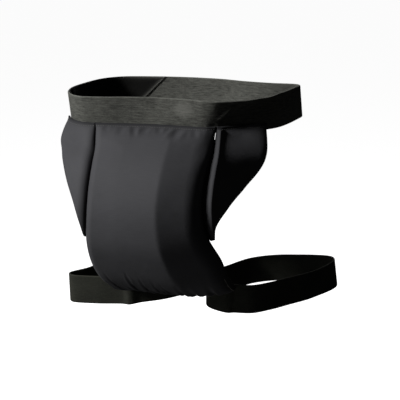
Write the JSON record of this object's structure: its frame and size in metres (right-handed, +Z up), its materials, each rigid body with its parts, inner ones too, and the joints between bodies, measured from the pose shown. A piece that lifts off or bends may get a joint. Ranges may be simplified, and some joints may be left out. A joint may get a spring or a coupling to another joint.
{
  "type": "padded seat guard",
  "caption": "Padded seat and tailbone guard: elastic waist belt, foam seat panel with side wings, and elastic leg loops.",
  "frame": {"origin": "middle of the waist opening, halfway up the belt", "axes": "+Z up the wearer's back, -Y behind the wearer (the padded side), +X to the wearer's right"},
  "size_m": [0.4265, 0.3399, 0.3565],
  "materials": {
    "belt_elastic": "matt woven elastic",
    "panel_cloth": "smooth woven cover cloth over foam",
    "strap_elastic": "matt woven elastic"
  },
  "bodies": {
    "root": {"waist_belt": "belt_elastic", "centre_pad": "panel_cloth", "wing_pad_left": "panel_cloth", "wing_pad_right": "panel_cloth", "leg_strap_left": "strap_elastic", "leg_strap_right": "strap_elastic"}
  },
  "joints": []
}
